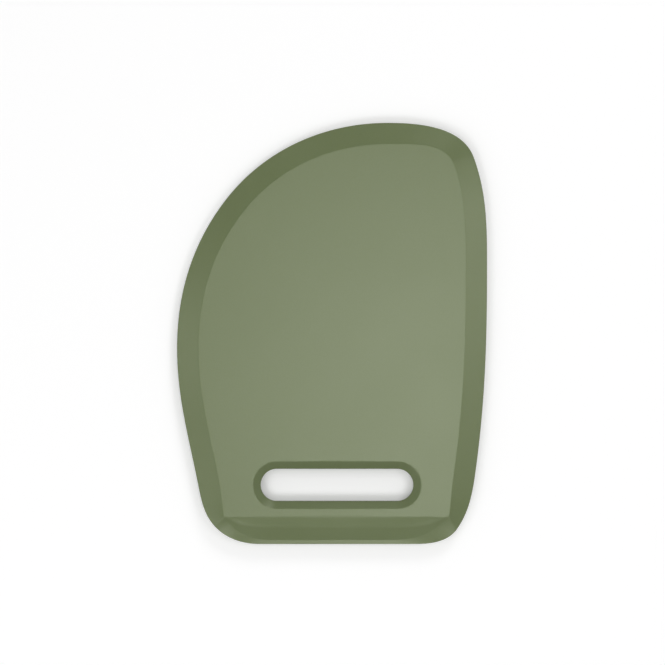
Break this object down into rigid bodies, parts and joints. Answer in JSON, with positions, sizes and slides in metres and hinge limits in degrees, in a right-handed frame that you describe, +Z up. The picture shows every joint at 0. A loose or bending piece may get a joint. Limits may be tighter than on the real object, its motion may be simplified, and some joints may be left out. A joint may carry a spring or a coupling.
{
  "type": "bowl scraper",
  "caption": "Flat hand-held bowl scraper: a soft silicone body with thin curved edges, a straight edge and a long hanging slot, moulded round a stiff plate.",
  "frame": {"origin": "on the flat back face, in the middle of the width and the length", "axes": "lying flat on its back: +X across it to the straighter side, +Y from the straight edge to the crown, +Z up out of the front face"},
  "size_m": [0.1104, 0.15, 0.006],
  "materials": {
    "silicone": "satin sage green silicone",
    "nylon": "natural glass-filled nylon, hidden inside the silicone"
  },
  "bodies": {
    "root": {"silicone_body": "silicone", "nylon_core": "nylon"}
  },
  "joints": []
}
